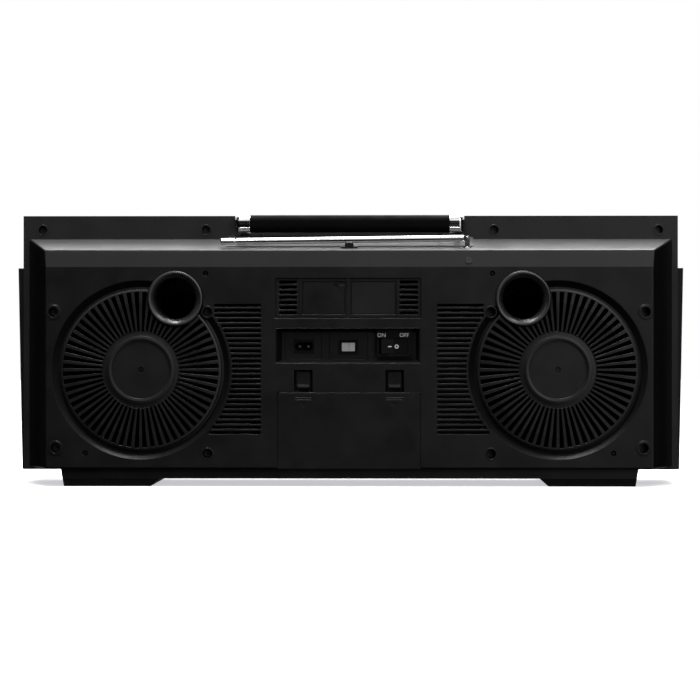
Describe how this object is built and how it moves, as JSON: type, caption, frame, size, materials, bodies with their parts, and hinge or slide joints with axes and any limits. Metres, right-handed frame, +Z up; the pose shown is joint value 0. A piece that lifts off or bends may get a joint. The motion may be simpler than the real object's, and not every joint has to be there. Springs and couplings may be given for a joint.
{
  "type": "boombox",
  "caption": "Large portable stereo with folding handle, telescoping antenna, cassette bay, rear ports and a battery door.",
  "frame": {"origin": "centre of the bounding box at the surface the feet stand on", "axes": "+Z up, +X along the long side (left seen from behind), +Y out of the back; the front faces -Y"},
  "size_m": [0.672, 0.1842, 0.2703],
  "materials": {
    "cabinet_plastic": "fine grained black moulding",
    "trim_plastic": "fine grained black moulding",
    "grille_plastic": "satin black moulding",
    "port_plastic": "satin black moulding",
    "socket_plastic": "deep black moulding",
    "foot_rubber": "dull black rubber",
    "black_steel": "blackened screws",
    "zinc_steel": "zinc plated screws",
    "plate_plastic": "blank satin plate",
    "plated_brass": "plated contacts",
    "white_plastic": "pale grey slider",
    "gloss_black": "polished black",
    "inner_plastic": "unpainted inner moulding",
    "circuit_board": "green laminate with parts",
    "transformer_steel": "varnished laminations",
    "woofer_metal": "pressed steel basket",
    "cone_paper": "dark pulp cone",
    "tweeter_plastic": "black horn",
    "grille_metal": "perforated sheet, black",
    "panel_aluminium": "dark brushed panel",
    "clear_window": "clear window",
    "pointer_red": "orange-red pointer",
    "knob_metal": "spun metal knob",
    "grip_rubber": "smooth black grip",
    "chrome": "polished chrome"
  },
  "bodies": {
    "cabinet": {"ac_inlet": "socket_plastic", "ac_inlet_pins": "plated_brass", "access_cover": "cabinet_plastic", "antenna_clip": "cabinet_plastic", "base_plate": "cabinet_plastic", "bass_port_left": "port_plastic", "bass_port_right": "port_plastic", "battery_box": "inner_plastic", "battery_contacts": "plated_brass", "bright_screws": "zinc_steel", "cabinet_screws": "black_steel", "cassette_deck": "trim_plastic", "connector_panel": "trim_plastic", "control_panel": "panel_aluminium", "dial_window": "clear_window", "foot_left": "foot_rubber", "foot_right": "foot_rubber", "front_cabinet": "cabinet_plastic", "main_circuit_board": "circuit_board", "power_switch_housing": "socket_plastic", "power_transformer": "transformer_steel", "rating_plate": "plate_plastic", "rear_cabinet": "cabinet_plastic", "rear_grille_left": "grille_plastic", "rear_grille_right": "grille_plastic", "side_cheek_left": "trim_plastic", "side_cheek_right": "trim_plastic", "speaker_grille_left": "grille_metal", "speaker_grille_right": "grille_metal", "tweeter_left": "tweeter_plastic", "tweeter_right": "tweeter_plastic", "voltage_selector_body": "socket_plastic", "woofer_cone_left": "cone_paper", "woofer_cone_right": "cone_paper", "woofer_frame_left": "woofer_metal", "woofer_frame_right": "woofer_metal"},
    "handle": {"handle_grip": "grip_rubber", "handle_arm_left": "chrome", "handle_arm_right": "chrome"},
    "antenna_swivel": {"antenna_base": "chrome"},
    "antenna_section_1": {"antenna_tube_1": "chrome"},
    "antenna_section_2": {"antenna_tube_2": "chrome"},
    "antenna_section_3": {"antenna_tube_3": "chrome"},
    "antenna_section_4": {"antenna_tube_4": "chrome"},
    "battery_door": {"battery_door": "cabinet_plastic"},
    "battery_latch_left": {"battery_latch_left": "trim_plastic"},
    "battery_latch_right": {"battery_latch_right": "trim_plastic"},
    "power_rocker": {"power_rocker": "socket_plastic"},
    "voltage_slider": {"voltage_slider": "white_plastic"},
    "volume_knob": {"volume_knob": "knob_metal"},
    "tone_knob": {"tone_knob": "knob_metal"},
    "tuning_knob": {"tuning_knob": "knob_metal"},
    "dial_pointer": {"dial_pointer": "pointer_red"},
    "cassette_door": {"cassette_door": "gloss_black"},
    "key_record": {"key_record": "gloss_black"},
    "key_play": {"key_play": "gloss_black"},
    "key_rewind": {"key_rewind": "gloss_black"},
    "key_forward": {"key_forward": "gloss_black"},
    "key_stop": {"key_stop": "gloss_black"},
    "key_pause": {"key_pause": "gloss_black"}
  },
  "joints": [
    {"name": "handle_fold", "type": "hinge", "parent": "cabinet", "child": "handle", "pos_m": [0, -0.04, 0.2616], "axis": [1, 0, 0], "range_deg": [0, 90]},
    {"name": "antenna_turn", "type": "hinge", "parent": "cabinet", "child": "antenna_swivel", "pos_m": [-0.117, 0.073, 0.2354], "axis": [0, 0, 1], "range_deg": [0, 175]},
    {"name": "antenna_tilt", "type": "hinge", "parent": "antenna_swivel", "child": "antenna_section_1", "pos_m": [-0.117, 0.073, 0.2457], "axis": [0.0052, -1, 0], "range_deg": [0, 91]},
    {"name": "antenna_extend_2", "type": "slide", "parent": "antenna_section_1", "child": "antenna_section_2", "axis": [0.9999, 0.0052, -0.0129], "range_m": [0, 0.195]},
    {"name": "antenna_extend_3", "type": "slide", "parent": "antenna_section_2", "child": "antenna_section_3", "axis": [0.9999, 0.0052, -0.0129], "range_m": [0, 0.195]},
    {"name": "antenna_extend_4", "type": "slide", "parent": "antenna_section_3", "child": "antenna_section_4", "axis": [0.9999, 0.0052, -0.0129], "range_m": [0, 0.195]},
    {"name": "battery_door_swing", "type": "hinge", "parent": "cabinet", "child": "battery_door", "pos_m": [0, 0.0884, 0.0192], "axis": [-1, 0, 0], "range_deg": [0, 90]},
    {"name": "battery_latch_left_press", "type": "slide", "parent": "battery_door", "child": "battery_latch_left", "axis": [0, 0, -1], "range_m": [0, 0.0026], "stiffness_N_per_m": 400, "springref_m": -0.002},
    {"name": "battery_latch_right_press", "type": "slide", "parent": "battery_door", "child": "battery_latch_right", "axis": [0, 0, -1], "range_m": [0, 0.0026], "stiffness_N_per_m": 400, "springref_m": -0.002},
    {"name": "power_rocker_tip", "type": "hinge", "parent": "cabinet", "child": "power_rocker", "pos_m": [-0.0436, 0.076, 0.1387], "axis": [0, 0, -1], "range_deg": [0, 12]},
    {"name": "voltage_slider_shift", "type": "slide", "parent": "cabinet", "child": "voltage_slider", "axis": [1, 0, 0], "range_m": [-0.0009, 0.0009]},
    {"name": "volume_knob_turn", "type": "hinge", "parent": "cabinet", "child": "volume_knob", "pos_m": [-0.262, -0.085, 0.2395], "axis": [0, 1, 0], "range_deg": [0, 300]},
    {"name": "tone_knob_turn", "type": "hinge", "parent": "cabinet", "child": "tone_knob", "pos_m": [-0.212, -0.085, 0.2395], "axis": [0, 1, 0], "range_deg": [-140, 140]},
    {"name": "tuning_knob_turn", "type": "hinge", "parent": "cabinet", "child": "tuning_knob", "pos_m": [0.262, -0.085, 0.2395], "axis": [0, 1, 0], "range_deg": [-450, 450]},
    {"name": "dial_pointer_travel", "type": "slide", "parent": "cabinet", "child": "dial_pointer", "axis": [1, 0, 0], "range_m": [-0.0701, 0.0701]},
    {"name": "cassette_door_tilt", "type": "hinge", "parent": "cabinet", "child": "cassette_door", "pos_m": [0, -0.0775, 0.067], "axis": [1, 0, 0], "range_deg": [0, 35]},
    {"name": "key_record_press", "type": "slide", "parent": "cabinet", "child": "key_record", "axis": [0, 1, 0], "range_m": [0, 0.004], "stiffness_N_per_m": 300, "springref_m": -0.001},
    {"name": "key_play_press", "type": "slide", "parent": "cabinet", "child": "key_play", "axis": [0, 1, 0], "range_m": [0, 0.004], "stiffness_N_per_m": 300, "springref_m": -0.001},
    {"name": "key_rewind_press", "type": "slide", "parent": "cabinet", "child": "key_rewind", "axis": [0, 1, 0], "range_m": [0, 0.004], "stiffness_N_per_m": 300, "springref_m": -0.001},
    {"name": "key_forward_press", "type": "slide", "parent": "cabinet", "child": "key_forward", "axis": [0, 1, 0], "range_m": [0, 0.004], "stiffness_N_per_m": 300, "springref_m": -0.001},
    {"name": "key_stop_press", "type": "slide", "parent": "cabinet", "child": "key_stop", "axis": [0, 1, 0], "range_m": [0, 0.004], "stiffness_N_per_m": 300, "springref_m": -0.001},
    {"name": "key_pause_press", "type": "slide", "parent": "cabinet", "child": "key_pause", "axis": [0, 1, 0], "range_m": [0, 0.004], "stiffness_N_per_m": 300, "springref_m": -0.001}
  ],
  "couplings": [
    {"joint": "dial_pointer_travel", "follows": "tuning_knob_turn", "m_per_rad": 0.0089127}
  ]
}
